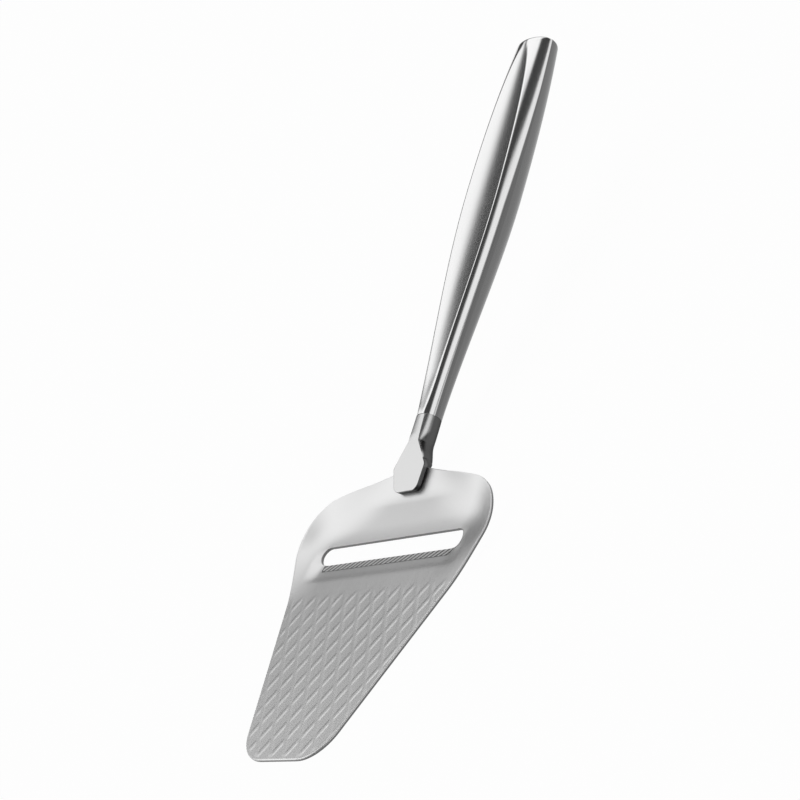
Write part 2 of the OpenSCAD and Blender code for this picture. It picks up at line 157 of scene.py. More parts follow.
def bladeLevels(b):
    # places along the blade that its functions share
    level = {"tip": -b["sole"] / 2, "crease": b["sole"] / 2}
    level["edge"] = level["crease"] + b["lip"]
    level["grind"] = level["edge"] - b["bevel"]
    level["slotRear"] = level["edge"] + b["slotWidth"]
    level["slotMid"] = level["edge"] + b["slotWidth"] / 2
    level["rear"] = level["crease"] + b["rear"]
    level["ramp"] = level["crease"] - b["rampLead"]
    level["bend"] = level["slotRear"] + b["bendGap"]
    level["reach"] = (b["slotLength"] - b["slotWidth"]) / 2
    level["slope"] = (b["creaseWidth"] - b["tipWidth"]) / 2 / b["sole"]
    level["side"] = math.atan(level["slope"])
    level["sweep"] = math.radians(b["sweep"])
    fall = math.tan(level["sweep"])
    sharpX = (b["creaseWidth"] / 2 + level["slope"] * b["rear"]) / (1 + level["slope"] * fall)
    sharp = np.array([sharpX, level["rear"] - sharpX * fall])  # the shoulder's corner before it is rounded
    toSide = np.array([-math.sin(level["side"]), -math.cos(level["side"])])
    toRear = np.array([-math.cos(level["sweep"]), math.sin(level["sweep"])])
    half = math.acos(float(toSide @ toRear)) / 2
    middle = toSide + toRear
    level["corner"] = sharp + middle / np.linalg.norm(middle) * b["shoulderRadius"] / math.sin(half)
    level["arcEnd"] = level["corner"][1] + b["shoulderRadius"] * math.cos(level["sweep"])
    level["tipY"] = level["tip"] + b["tipRadius"]
    level["tipX"] = b["creaseWidth"] / 2 + level["slope"] * (level["tipY"] - level["crease"]) \
        - b["tipRadius"] / math.cos(level["side"])
    return level


def halfWidth(y, b, level):
    # straight side, with an arc at the tip corner, an arc at the shoulder and the swept rear edge
    straight = b["creaseWidth"] / 2 + level["slope"] * (y - level["crease"])
    cornerX, cornerY = level["corner"]
    r, tipR = b["shoulderRadius"], b["tipRadius"]
    arc = cornerX + np.sqrt(np.maximum(r ** 2 - (y - cornerY) ** 2, 0))
    tipArc = level["tipX"] + np.sqrt(np.maximum(tipR ** 2 - (y - level["tipY"]) ** 2, 0))
    rearLine = (level["rear"] - y) / math.tan(level["sweep"])
    width = np.where(y < cornerY - r * math.sin(level["side"]), straight, arc)
    width = np.where(y > level["arcEnd"], rearLine, width)
    return np.where(y < level["tipY"] - tipR * math.sin(level["side"]), tipArc, width)


def rimDistance(x, y, b, level):
    # distance to the outline, from the side line, the rear line, the tip line and their rounded corners
    side = b["creaseWidth"] / 2 + level["slope"] * (y - level["crease"]) - np.abs(x)
    side = side * math.cos(level["side"])
    rear = (level["rear"] - np.abs(x) * math.tan(level["sweep"]) - y) * math.cos(level["sweep"])
    r, tipR = b["shoulderRadius"], b["tipRadius"]
    back = r - np.hypot(np.maximum(r - side, 0), np.maximum(r - rear, 0))
    back = back + np.maximum(np.minimum(side, rear) - r, 0)
    aside = np.abs(x) - level["tipX"]
    inCorner = (aside > 0) & (y < level["tipY"] - aside * level["slope"])
    atTip = np.minimum(side, y - level["tip"])
    front = np.where(inCorner, tipR - np.hypot(aside, y - level["tipY"]), atTip)
    return np.where(y > 0, back, np.minimum(front, side))


def emboss(x, y, distance, e):
    # two sets of raised bars at sixty degrees, each a smooth step of the distance to its nearest line; the
    # strong set sinks where it meets the weak one, and the higher of the two counts
    def bars(across, phase):
        off = np.abs((across - phase + e["pitch"] / 2) % e["pitch"] - e["pitch"] / 2)
        return 1 - smooth((e["width"] - e["flank"]) / 2, (e["width"] + e["flank"]) / 2, off)
    angle = math.radians(e["angle"])
    along = bars(math.cos(angle) * x - math.sin(angle) * y, e["alongPhase"])
    cross = bars(math.cos(angle) * x + math.sin(angle) * y, e["crossPhase"])
    inside = smooth(e["margin"], e["margin"] + e["fade"], distance)
    inside = inside * (1 - smooth(e["back"] - e["backFade"], e["back"], y))
    return e["height"] * np.maximum(along * (1 - e["breakShare"] * cross), e["crossShare"] * cross) * inside


def bladeHeight(x, y, b, level):
    # height of the top face: sheet, step and lean behind the slot, bend, curled rim, and the lip bent down
    aside = smooth(level["reach"], level["reach"] + b["lipBlend"], np.abs(x))  # 0 at the slot, 1 past its ends
    behind = smooth(level["edge"], level["slotRear"], y)
    step = b["step"] * (aside * smooth(level["ramp"], level["slotRear"], y) + (1 - aside) * behind)
    lean, rise = math.radians(b["lean"]), math.radians(b["rise"])
    leant = step + softRun(y - level["slotRear"], b["leanSoft"]) * math.tan(lean)
    sine = math.sin(lean) + (y - level["bend"]) / b["bendRadius"]
    sine = np.clip(sine, math.sin(lean), math.sin(rise))
    bendEnd = level["bend"] + b["bendRadius"] * (math.sin(rise) - math.sin(lean))
    bent = b["step"] + b["bendGap"] * math.tan(lean) + np.maximum(y - bendEnd, 0) * math.tan(rise) \
        + b["bendRadius"] * (math.cos(lean) - np.sqrt(1 - sine ** 2))
    height = np.where(y < level["bend"], leant, bent)
    inward = np.maximum(b["curlBand"] - np.maximum(rimDistance(x, y, b, level), 0), 0)
    soft = b["curlSoft"]
    ramp = np.where(inward < soft, inward ** 2 / (2 * soft), inward - soft / 2) / (b["curlBand"] - soft / 2)
    ramp = ramp * smooth(level["ramp"], level["crease"] + b["curlFull"], y)
    height = height + b["curl"] * ramp * smooth(b["curlGap"], b["curlWide"], np.abs(x))
    past = y - level["crease"]
    run = np.where(y <= level["edge"], softRun(past, b["creaseSoft"]), b["lip"] * (1 - behind))
    fall = b["creaseStep"] * smooth(*b["creaseFall"], past) * (1 - behind)  # short steeper fall at the crease
    return b["thick"] + height - (fall + run * math.tan(math.radians(b["lipAngle"]))) * (1 - aside)


def bladeRows(b, level):
    # places of the grid's rows along Y: close together at the tip, in the grind band and along the slot
    fromTip = b["tipRow"] + np.cumsum(np.linspace(*b["tipSteps"], b["tipRows"]))
    tip = level["tip"] + np.append([0, b["closeRow"], b["tipRow"]], fromTip)
    slotTurn = np.linspace(0, math.pi, b["slotRows"])
    shoulder = np.sin(np.linspace(0, math.pi / 2, b["shoulderRows"]))[1:]
    return np.concatenate([
        tip, np.linspace(tip[-1], level["crease"], b["soleRows"])[1:],
        np.linspace(level["crease"], level["grind"], b["lipRows"])[1:],
        np.linspace(level["grind"], level["edge"], b["bevelRows"])[1:-1],
        level["slotMid"] - b["slotWidth"] / 2 * np.cos(slotTurn),
        level["slotRear"] + np.append(b["closeRow"], (level["arcEnd"] - level["slotRear"]) * shoulder),
        np.linspace(level["arcEnd"], level["rear"] - b["rearTrim"], b["rearRows"])[1:]])


def makeBlade(b, e, g):
    # a grid over the outline, whose middle columns end at the slot's ends: top and under face of the sheet
    level = bladeLevels(b)
    yRows = bladeRows(b, level)
    wide = halfWidth(yRows, b, level)
    inSlot = (yRows > level["edge"] - hair) & (yRows < level["slotRear"] + hair)
    bulge = np.sqrt(np.maximum((b["slotWidth"] / 2) ** 2 - (yRows - level["slotMid"]) ** 2, 0))
    inner = np.where(inSlot, level["reach"] + bulge, np.minimum(level["reach"], b["middleShare"] * wide))
    across = 1 / np.hypot(1, np.gradient(wide, yRows))  # share of a step along X that goes away from the rim
    rimStep = np.minimum(b["rimRound"] / np.maximum(across, b["rimSlant"]), (wide - inner) * b["rimShare"])
    rim = wide[:, None] - rimStep[:, None] * np.array([b["rimColumns"]])
    share = np.linspace(0, 1, b["bandColumns"] + 1)[None, :]
    band = (wide - rimStep)[:, None] - share * (wide - rimStep - inner)[:, None]
    half = np.concatenate([rim, band], 1)
    middle = inner[:, None] * np.linspace(-1, 1, b["middleColumns"] + 1)[None, 1:-1]
    x = np.concatenate([-half, middle, half[:, ::-1]], 1)
    y = np.broadcast_to(yRows[:, None], x.shape)
    bumps = emboss(x, y, rimDistance(x, y, b, level), e)
    fromRim = np.minimum((wide[:, None] - np.abs(x)) * across[:, None], y - level["tip"])
    ends = smooth(level["reach"] + b["bevelEnds"][0], level["reach"] + b["bevelEnds"][1], np.abs(x))
    ground = np.clip((y - level["grind"]) / b["bevel"], 0, 1) * (y < level["edge"] + hair) * (1 - ends)
    teeth = 0.5 + 0.5 * np.sin(2 * math.pi * (x - g["slant"] * (y - level["edge"])) / g["pitch"])
    sheet = bladeHeight(x, y, b, level)
    top = sheet + bumps - roundOff(fromRim, b["rimRound"]) - ground * b["bevelTop"] \
        - g["depth"] * teeth * np.sin(math.pi * ground)
    under = sheet - b["thick"] + bumps * e["underShare"] + ground * (b["thick"] - b["edge"] - b["bevelTop"])
    onSlot = inSlot[:, None] & (np.abs(np.abs(x) - inner[:, None]) < hair)
    onSlot |= (np.abs(y - level["slotRear"]) < hair) & (np.abs(x) < level["reach"])
    cut = ((fromRim < hair) | onSlot | (y == yRows[-1])).astype(float)  # sheared edges
    keep = np.ones((len(yRows) - 1, x.shape[1] - 1), bool)
    slotColumns = half.shape[1] - 1 + np.arange(b["middleColumns"])
    keep[np.ix_(inSlot[:-1] & inSlot[1:], slotColumns)] = False
    verts, faces = closeSheet(np.stack([x, y, top], -1), np.stack([x, y, under], -1), keep)
    return addPiece("bladeSheet", verts, faces, b["sharp"], {
        "grind": np.append(ground, 0 * ground), "cut": np.append(cut, cut)})


blade = makeBlade(bladeSize, embossSize, grindSize)
print("blade made:", len(blade.data.polygons), "faces")

# handle: two half shells around a hollow, with a leaf-shaped facet on top and a dull strip with painted shade
# at the parting line
handleSize = {"seam": (0, 80.33, 9.248), "angle": 13.1, "length": 133.5, "bellyAt": 78, "neckWidth": 7.9,
              "bellyWidth": 20.6, "endWidth": 15.4, "neckTop": 3.65, "bellyTop": 6.2, "endTop": 4.6,
              "neckUnder": 3.65, "bellyUnder": 8.1, "endUnder": 6, "facetNeck": 3.3, "facetEnd": 4.8,
              "facetSlope": 0.17, "facetLeast": 0.5, "facetFade": (-0.05, 0.12), "arch": 0.5, "archAt": 60,
              "flare": 0.75, "taper": 2.3, "endRound": 0.8, "wall": 0.8, "ridge": 0.3, "ridgeNeck": 0.5,
              "ridgeFade": 45, "leaf": 14, "leafLift": 0.5, "seamGroove": 0.14, "sideLow": 0.24,
              "sideHigh": 0.32, "sideFrom": 70, "sideTo": 134, "sideEnd": 0.3, "sharp": 30,
              "frontRows": (0.05, 0.5), "rowStep": 1.2, "tailGap": 1.5, "tailRows": 6, "endShare": 0.5,
              "topColumns": 121, "underColumns": 65}


def swell(t, neck, belly, end, h):
    # eased growth from the seam to the belly, then a power taper to the end
    s = np.clip(t / h["bellyAt"], 0, 1)
    flare = h["flare"]
    grown = neck + (belly - neck) * (flare * s + (3 - 2 * flare) * s ** 2 + (flare - 2) * s ** 3)
    back = np.clip((t - h["bellyAt"]) / (h["length"] - h["bellyAt"]), 0, 1)
    return (grown - (belly - end) * back ** h["taper"])[:, None]


def onAxis(t, x, z, h):
    # a point x across and z above the handle's arched middle line, at the distance t from the seam
    angle = math.radians(h["angle"])
    lift = h["arch"] * (1 - (1 - t / h["archAt"]) ** 2)
    y = h["seam"][1] + t * math.cos(angle) - (z + lift) * math.sin(angle)
    up = h["seam"][2] + t * math.sin(angle) + (z + lift) * math.cos(angle)
    return np.stack([x, y, up], -1)


def softMin(first, second, soft):
    # lower of two heights, rounded over a soft band
    s = np.clip(0.5 + 0.5 * (second - first) / soft, 0, 1)
    return second + (first - second) * s - soft * s * (1 - s)


def handleGrid(h, upper, inset, t):
    # half sections along the axis: cosine of the turn across and sine of it up or down for the round part, cut
    # by the hollow facet above; and the finish, 1 on the facet, 0 on the polish and -1 on the dull strip at
    # the parting line, where the polish is painted dark as shade
    turn = np.linspace(0, math.pi, h["topColumns"] if upper else h["underColumns"])[None, :]
    trim = inset + roundOff(h["length"] - t, h["endRound"])
    trim = (trim + (np.maximum(h["seamGroove"] - t, 0) if inset == 0 else 0))[:, None]
    wide = swell(t, h["neckWidth"], h["bellyWidth"], h["endWidth"], h) / 2 - trim
    x = wide * np.cos(turn)
    if not upper:
        under = swell(t, h["neckUnder"], h["bellyUnder"], h["endUnder"], h) - trim
        return onAxis(t[:, None], x, -under * np.sin(turn), h), x * 0
    top = swell(t, h["neckTop"], h["bellyTop"], h["endTop"], h) - trim
    facet = h["facetNeck"] + (h["facetEnd"] - h["facetNeck"]) * t / h["length"]
    facet = facet + h["leafLift"] * np.maximum(1 - t / h["leaf"], 0) ** 2  # the leaf starts in a point
    facet = facet[:, None] - trim
    flat = wide * np.sqrt(1 - np.clip(facet / top, 0, 1) ** 2)
    hollow = facet - (flat ** 2 - x ** 2) * h["facetSlope"] / (2 * np.maximum(flat, h["facetLeast"]))
    rounded = top * np.sin(turn)
    soft = h["ridge"] + h["ridgeNeck"] * np.maximum(1 - t[:, None] / h["ridgeFade"], 0) ** 2
    z = np.maximum(softMin(hollow, rounded, soft), 0)
    # painted shade: the -1 strip by the parting line, where the shell turns under, gets a dark tone in place
    # of a dark reflection
    share = np.clip((h["sideTo"] - t) / (h["sideTo"] - h["sideFrom"]), h["sideEnd"], 1)[:, None]
    side = 1 - smooth(h["sideLow"] * share, h["sideHigh"] * share, np.sin(turn))
    return onAxis(t[:, None], x, z, h), smooth(*h["facetFade"], rounded - hollow) - side


def closeEnd(grid, t, h):
    # two more rows close a shell's end: one part of the way to the middle of the end, and the middle itself
    middle = onAxis(np.array([t]), np.zeros(1), np.zeros(1), h)[None]
    ring = middle + (grid[-1:] - middle) * h["endShare"]
    return np.concatenate([grid, ring, np.repeat(middle, grid.shape[1], 1)])


def makeShell(name, h, upper):
    # outer and inner half sections from the seam to the end, where the inner ones stop a wall short
    tail = h["length"] - h["endRound"] + h["endRound"] * np.sin(np.linspace(0, math.pi / 2, h["tailRows"]))
    front = [0, h["frontRows"][0], h["seamGroove"], h["frontRows"][1]]
    t = np.concatenate([front, np.arange(h["rowStep"], h["length"] - h["tailGap"], h["rowStep"]), tail])
    hollow = h["length"] - h["endRound"] - h["wall"]
    outer, facet = handleGrid(h, upper, 0, t)
    inner = handleGrid(h, upper, h["wall"], t * hollow / h["length"])[0]
    outer, inner = closeEnd(outer, h["length"], h), closeEnd(inner, hollow, h)
    facet = np.concatenate([facet, np.zeros((2, facet.shape[1]))])
    if upper:  # the upper half is turned round, so that its faces point outwards
        outer, inner, facet = outer[:, ::-1], inner[:, ::-1], facet[:, ::-1]
    verts, faces = closeSheet(outer, inner)
    return addPiece(name, verts, faces, h["sharp"], {"facet": np.append(facet, 0 * facet)})


topShell = makeShell("handleTop", handleSize, True)
underShell = makeShell("handleUnder", handleSize, False)
print("handle made:", len(topShell.data.polygons) + len(underShell.data.polygons), "faces")

# neck: flat lozenge palm, round stem with a top facet, spigot and tang inside the handle; then its rows
neckSize = {"palmAt": (57.424, 3.41), "rise": 20.6, "gap": 0.1, "thick": 1.7, "front": 5.1, "belly": 7.1,
            "bellyAt": 7.6, "palm": 15.4, "stem": 8.6, "bend": 1.5, "crease": 2.2, "facet": 1.69, "corner": 2,
            "edge": 0.22, "seat": 9.25, "seatEnd": 10.3, "rootWidth": 3.6, "rootFlare": 1.8, "flareRun": 6,
            "rootDepth": 4.6, "rootLean": 4, "crown": 0.2, "crownRun": (-0.3, 2.5), "boxPower": 9,
            "roundPower": 2, "spigot": 10, "tang": 34, "spigotShare": (0.772, 0.753),
            "tangShare": (0.557, 0.411), "shadeRun": (-0.5, 4), "shadePalm": (0.05, 0.3),
            "shadeStem": (0.45, 0.8), "palmShade": 0.93, "palmShadeRun": 1, "farFlank": 0.3, "farFade": (0.5, 1),
            "sharp": 32, "cornerRows": 12, "palmStep": 0.5, "seatRows": 10, "seatEnds": (0.1, 0.2),
            "stemStep": 0.4, "stemEnds": (0.6, 0.2), "outlineRows": 241, "outlineBlur": 7, "pathSteps": 2400,
            "flatMost": 0.9999, "topColumns": (0.12, 0.35, 0.6, 0.8, 0.97), "flankColumns": 12,
            "underColumns": 17}


def neckPath(n, h, last, s):
    # slope, run and rise of the top line at s: from the palm's slope to the handle's, over a short bend
    fine = np.linspace(0, last, n["pathSteps"] + 1)
    turned = smooth(n["palm"] - n["bend"], n["palm"] + n["bend"], fine)
    slope = np.radians(n["rise"] + (h["angle"] - n["rise"]) * turned)
    run = np.append(0, np.cumsum(np.cos(slope[1:]))) * last / n["pathSteps"]
    rise = np.append(0, np.cumsum(np.sin(slope[1:]))) * last / n["pathSteps"]
    return [np.interp(s, fine, values)[:, None] for values in (slope, run, rise)]


def neckOutline(n, last, s):
    # half width of the lozenge: straight runs between four widths, blurred corners, and a round front corner
    fine = np.linspace(0, last, n["outlineRows"])
    lead = np.interp(s, [0, n["bellyAt"], n["palm"], last], [n["front"], n["belly"], n["crease"], n["facet"]])
    blur = n["outlineBlur"]
    soft = np.convolve(np.pad(np.interp(fine, s, lead), blur // 2, "edge"), np.ones(blur) / blur, "valid")
    return np.interp(s, fine, soft) - roundOff(s, n["corner"])


def neckSections(n, h, last, s):
    # half sections, then their mirror images: a flat top, a flank that is part of an ellipse down to the
    # widest line, and an underside that goes from a box, under the palm, to an ellipse, in the stem
    outline = neckOutline(n, last, s)
    toStem = smooth(n["seat"], n["seatEnd"], s)
    flare = 1 - smooth(n["seatEnd"], n["seatEnd"] + n["flareRun"], s)
    stemWide = n["rootWidth"] + (h["neckWidth"] / 2 - n["rootWidth"]) * smooth(n["seatEnd"], last, s)
    stemWide = stemWide + n["rootFlare"] * flare
    wide = (outline + (stemWide - outline) * toStem)[:, None]
    flat = (outline - n["edge"] * (1 - toStem))[:, None]
    slant = math.tan(math.radians(n["rise"])) - math.tan(math.radians(h["angle"]))
    stemFall = h["facetNeck"] - np.maximum(n["palm"] - s, 0) * slant
    fall = (n["edge"] + (stemFall - n["edge"]) * toStem)[:, None]
    under = h["neckUnder"] + (n["rootDepth"] - h["neckUnder"]) * flare
    deep = (n["thick"] + (stemFall + under - n["thick"]) * toStem)[:, None]
    power = 2 / (n["boxPower"] + (n["roundPower"] - n["boxPower"]) * toStem)[:, None]
    crown = n["crown"] * smooth(n["palm"] + n["crownRun"][0], n["palm"] + n["crownRun"][1], s)[:, None]
    share = np.linspace(0, 1, n["flankColumns"])[None, :]
    start = np.arccos(np.clip(flat / wide, 0, n["flatMost"]))
    turn = start * (1 - share)
    low = np.linspace(0, math.pi / 2, n["underColumns"])[None, 1:-1]
    topX = flat * np.array([n["topColumns"]])
    topZ = crown * (1 - (topX / flat) ** 2)  # rounded top of the stem
    flankX = wide * np.cos(turn) + np.maximum(flat - wide, 0) * (1 - share)
    flankZ = fall * (np.sin(turn) / np.sin(start) - 1)
    underX = wide * np.cos(low) ** power
    underZ = -fall - (deep - fall) * np.sin(low) ** power
    x = np.concatenate([topX, flankX, underX], 1)
    z = np.concatenate([topZ, flankZ, underZ], 1) - roundOff(s, n["edge"])[:, None]
    z = np.maximum(z, -deep)
    # painted shade: the flank darkens toward its widest line and is dark underneath, a little less on the
    # palm; the stem's far flank loses much of it, which paints that side lighter
    late = smooth(n["palm"] + n["shadeRun"][0], n["palm"] + n["shadeRun"][1], s)[:, None]
    shadeLow, shadeHigh = [palm + (stem - palm) * late for palm, stem in zip(n["shadePalm"], n["shadeStem"])]
    flankShade = np.concatenate([0 * topX, smooth(shadeLow, shadeHigh, share), 0 * underX + 1], 1)
    atStem = smooth(n["seat"] - n["palmShadeRun"], n["seatEnd"], s)[:, None]
    flankShade = flankShade * (n["palmShade"] + (1 - n["palmShade"]) * atStem)
    onStem = smooth(n["seat"], n["palm"], s)[:, None]
    bright = (1 - n["farFlank"]) * onStem * (1 - smooth(*n["farFade"], share))
    farFlankShade = np.concatenate([0 * topX, 1 - bright, 0 * underX + 1], 1)  # the stem's far flank gets less painted shade, so that side is painted lighter
    mirrored = ((x, -1), (z, 1), (flankShade, farFlankShade[:, ::-1]))
    return [np.concatenate([half, far * half[:, ::-1]], 1) for half, far in mirrored]


def makeNeck(n, h):
    # sections along the top line, then smaller copies of the last along the handle's axis for spigot and tang
    last = n["palm"] + n["stem"]
    s = np.concatenate([
        n["corner"] * (1 - np.cos(np.linspace(0, math.pi / 2, n["cornerRows"]))),
        np.arange(n["corner"] + n["palmStep"], n["seat"] - n["palmStep"] / 2, n["palmStep"]),
        np.linspace(n["seat"] - n["seatEnds"][0], n["seatEnd"] + n["seatEnds"][1], n["seatRows"]),
        np.arange(n["seatEnd"] + n["stemEnds"][0], last - n["stemEnds"][1], n["stemStep"]), [last]])
    x, z, flankShade = neckSections(n, h, last, s)
    slope, run, climb = neckPath(n, h, last, s)
    rise = math.radians(n["rise"])
    above = n["gap"] + n["thick"]
    startY, startZ = n["palmAt"][0] - above * math.sin(rise), n["palmAt"][1] + above * math.cos(rise)
    plate = np.maximum(z, -above)
    upright = 1 - smooth(n["seatEnd"], n["palm"] + n["rootLean"], s)[:, None]  # of the root's front face
    lean = plate + (z - plate) * (1 - upright)
    rings = np.stack([x, startY + run - lean * np.sin(slope), startZ + climb + z * np.cos(slope)], -1)
    seamX, seamZ = x[-1:], z[-1:] + h["facetNeck"]
    stations = [(0, "spigotShare"), (n["spigot"], "spigotShare"), (n["spigot"], "tangShare"),
                (n["spigot"] + n["tang"], "tangShare")]
    hidden = [onAxis(np.full((1, 1), float(t)), seamX * n[k][0], seamZ * n[k][1], h) for t, k in stations]
    verts, faces = closeTube(np.concatenate([rings] + hidden))
    flankShade = np.concatenate([flankShade] + [flankShade[-1:]] * len(hidden))
    return addPiece("neckForged", verts, faces, n["sharp"], {"flank": flankShade.ravel()})


neck = makeNeck(neckSize, handleSize)
print("neck made:", len(neck.data.polygons), "faces")


class Wire:
    # a socket of a node tree, on which sums are written as Python expressions
    def __init__(self, tree, socket):
        self.tree, self.socket = tree, socket

    def maths(self, operation, first, second):
        node = self.tree.nodes.new("ShaderNodeMath")
        node.operation = operation
        plug(self.tree, node.inputs[0], first)
        plug(self.tree, node.inputs[1], second)
        return Wire(self.tree, node.outputs[0])

    def other(self, name):
        # another output of the same node
        return Wire(self.tree, self.socket.node.outputs[name])

    def atLeast(self, low):
        return self.maths("MAXIMUM", self, low)

    def __add__(self, other):
        return self.maths("ADD", self, other)

    def __radd__(self, other):
        return self.maths("ADD", other, self)

    def __sub__(self, other):
        return self.maths("SUBTRACT", self, other)

    def __rsub__(self, other):
        return self.maths("SUBTRACT", other, self)

    def __mul__(self, other):
        return self.maths("MULTIPLY", self, other)

    def __rmul__(self, other):
        return self.maths("MULTIPLY", other, self)

    def __mod__(self, other):
        return self.maths("FLOORED_MODULO", self, other)

    def __gt__(self, other):
        return self.maths("GREATER_THAN", self, other)


def plug(tree, slot, value):
    # a link from another node, or a fixed value
    if isinstance(value, Wire):
        tree.links.new(value.socket, slot)
    else:
        slot.default_value = value


def addNode(tree, kind, settings, values, out=0):
    # any node: its type, its settings, then the values or links of its sockets
    node = tree.nodes.new("ShaderNode" + kind)
    for key, value in settings.items():
        setattr(node, key, value)
    for key, value in values.items():
        plug(tree, node.inputs[key], value)
    return Wire(tree, node.outputs[out])


def newFinish(name, **fixed):
    # a material with one Principled shader, whose fixed sockets are set here
    finish = bpy.data.materials.new(name)
    finish.use_nodes = True
    tree = finish.node_tree
    shader = tree.nodes["Principled BSDF"]
    for key, value in fixed.items():
        plug(tree, shader.inputs[key], value)
    return finish, tree, shader


def grey(v):
    return (v, v, v, 1)


def mixColour(tree, share, first, second):
    return addNode(tree, "Mix", {"data_type": "RGBA"}, {0: share, 6: first, 7: second}, 2)


def attribute(tree, name):
    return addNode(tree, "Attribute", {"attribute_name": name}, {}, "Fac")


# steel: grain in long streaks along Y, soft clouds, both in cycles a metre, and a roughness that follows them
steelSize = {"grain": (900, 60, 900), "grainDetail": 1.0, "grainRough": 0.5, "clouds": 45, "cloudDetail": 2.0,
             "roughSpread": 0.03, "toneSpread": 0.05, "toneGain": 4, "bump": 0.012, "bumpDepth": 0.2}


def steelFinish(name, look, z):
    # a bare steel with its grain in the normal; gives its colour and roughness for the caller to plug
    finish, tree, shader = newFinish(name, Metallic=1.0)
    place = addNode(tree, "TexCoord", {}, {}, "Object")
    stretched = addNode(tree, "Mapping", {}, {"Vector": place, "Scale": z["grain"]})
    grain = addNode(tree, "TexNoise", {}, {"Vector": stretched, "Scale": 1.0, "Detail": z["grainDetail"],
                                           "Roughness": z["grainRough"]})
    clouds = addNode(tree, "TexNoise", {}, {"Vector": place, "Scale": z["clouds"], "Detail": z["cloudDetail"]})
    rough = look["rough"] + z["roughSpread"] * (grain - 0.5) + z["roughSpread"] * (clouds - 0.5)
    share = 0.5 + z["toneSpread"] * z["toneGain"] * (grain - 0.5)
    low, high = look["tone"] * (1 - z["toneSpread"]), look["tone"] * (1 + z["toneSpread"])
    colour = mixColour(tree, share, grey(low), grey(high))
    bumped = addNode(tree, "Bump", {}, {"Strength": z["bump"], "Distance": z["bumpDepth"] * mm,
                                        "Height": grain})
    plug(tree, shader.inputs["Normal"], bumped)
    return finish, tree, shader, colour, rough


def plainSteel(name, look):
    finish, tree, shader, colour, rough = steelFinish(name, look, steelSize)
    plug(tree, shader.inputs["Base Color"], colour)
    plug(tree, shader.inputs["Roughness"], rough)
    return finish


# blade finish: satin, with painted shade on the grind band (a dark tone standing in for the bevel's darker
# reflection), broken by fine pale slanted cuts, and dark sheared edges
bladeLook = {"tone": 0.75, "rough": 0.38, "groundFrom": 0.02, "groundShadeShare": 0.8, "groundShadeTone": 0.08,
             "dashGap": 0.45, "dashFrom": 0.1, "dashShare": 0.75, "dashTone": 0.8, "dashRough": 0.2,
             "dashDull": 0.6, "cutTone": 0.16}


def makeBladeSteel(look, g):
    finish, tree, shader, colour, rough = steelFinish("bladeSteel", look, steelSize)
    ground = attribute(tree, "grind")
    place = addNode(tree, "TexCoord", {}, {}, "Object")
    alongX = addNode(tree, "SeparateXYZ", {}, {"Vector": place}, "X")
    across = (alongX - g["slant"] * alongX.other("Y")) * (1 / (g["pitch"] * mm))
    dash = ((across % 1.0) > look["dashGap"]) * (ground > look["dashFrom"])
    # painted shade: the grind band is mixed toward a dark tone; the pale cuts then cover part of it
    bandShade = (ground > look["groundFrom"]) * look["groundShadeShare"]
    tinted = mixColour(tree, bandShade, colour, grey(look["groundShadeTone"]))
    tinted = mixColour(tree, dash * look["dashShare"], tinted, grey(look["dashTone"]))
    tinted = mixColour(tree, attribute(tree, "cut"), tinted, grey(look["cutTone"]))
    plug(tree, shader.inputs["Base Color"], tinted)
    plug(tree, shader.inputs["Roughness"], rough + look["dashRough"] * dash)
    plug(tree, shader.inputs["Metallic"], 1.0 - look["dashDull"] * dash)
    return finish


# neck finish: satin top, flanks with painted shade (a dark tone that stands in for their dark reflections)
neckLook = {"tone": 0.63, "rough": 0.26, "edgeTint": 0.4, "flankShadeTone": 0.09}


def makeNeckSteel(look):
    finish, tree, shader, colour, rough = steelFinish("neckSteel", look, steelSize)
    shader.inputs["Specular Tint"].default_value = grey(look["edgeTint"])  # dull at a low angle
    # painted shade: the flank field mixes the colour toward the dark flank tone
    tinted = mixColour(tree, attribute(tree, "flank"), colour, grey(look["flankShadeTone"]))
    plug(tree, shader.inputs["Base Color"], tinted)
    plug(tree, shader.inputs["Roughness"], rough)
    return finish


# handle finish: polished, a little rougher on the facet, dull along the parting line, with painted shade there
handleLook = {"tone": 0.74, "rough": 0.14, "facetRough": 0.05, "sideShadeTone": 0.15, "sideRough": 0.14}


def makeHandlePolish(look):
    finish, tree, shader, colour, rough = steelFinish("handlePolish", look, steelSize)
    finishAndShadeMap = attribute(tree, "facet")
    # painted shade: on the strip at the parting line the colour is mixed toward the dark side tone
    side = (0 - finishAndShadeMap).atLeast(0)
    plug(tree, shader.inputs["Base Color"], mixColour(tree, side, colour, grey(look["sideShadeTone"])))
    plug(tree, shader.inputs["Roughness"],
         rough + look["facetRough"] * finishAndShadeMap.atLeast(0) + look["sideRough"] * side)
    return finish


# bond finish: matt filled resin with specks
bondLook = {"rough": 0.75, "specks": 900, "dark": (0.2, 0.19, 0.17, 1), "pale": (0.36, 0.35, 0.32, 1)}


def makeBondResin(look):
    finish, tree, shader = newFinish("bondResin", Roughness=look["rough"])
    place = addNode(tree, "TexCoord", {}, {}, "Object")
    speck = addNode(tree, "TexNoise", {}, {"Vector": place, "Scale": look["specks"]})
    plug(tree, shader.inputs["Base Color"], mixColour(tree, speck, look["dark"], look["pale"]))
    return finish


bladeSteel = makeBladeSteel(bladeLook, grindSize)
neckSteel = makeNeckSteel(neckLook)
handlePolish = makeHandlePolish(handleLook)
# painted shade: the under shell's steel has a dark tone, 0.17, that stands in for the dark reflections of its
# downward faces
handleUnderShade = plainSteel("handleUnderShade", {"tone": 0.17, "rough": 0.28})
weldSteel = plainSteel("weldSteel", {"tone": 0.5, "rough": 0.45})
bondResin = makeBondResin(bondLook)
print("finishes made")

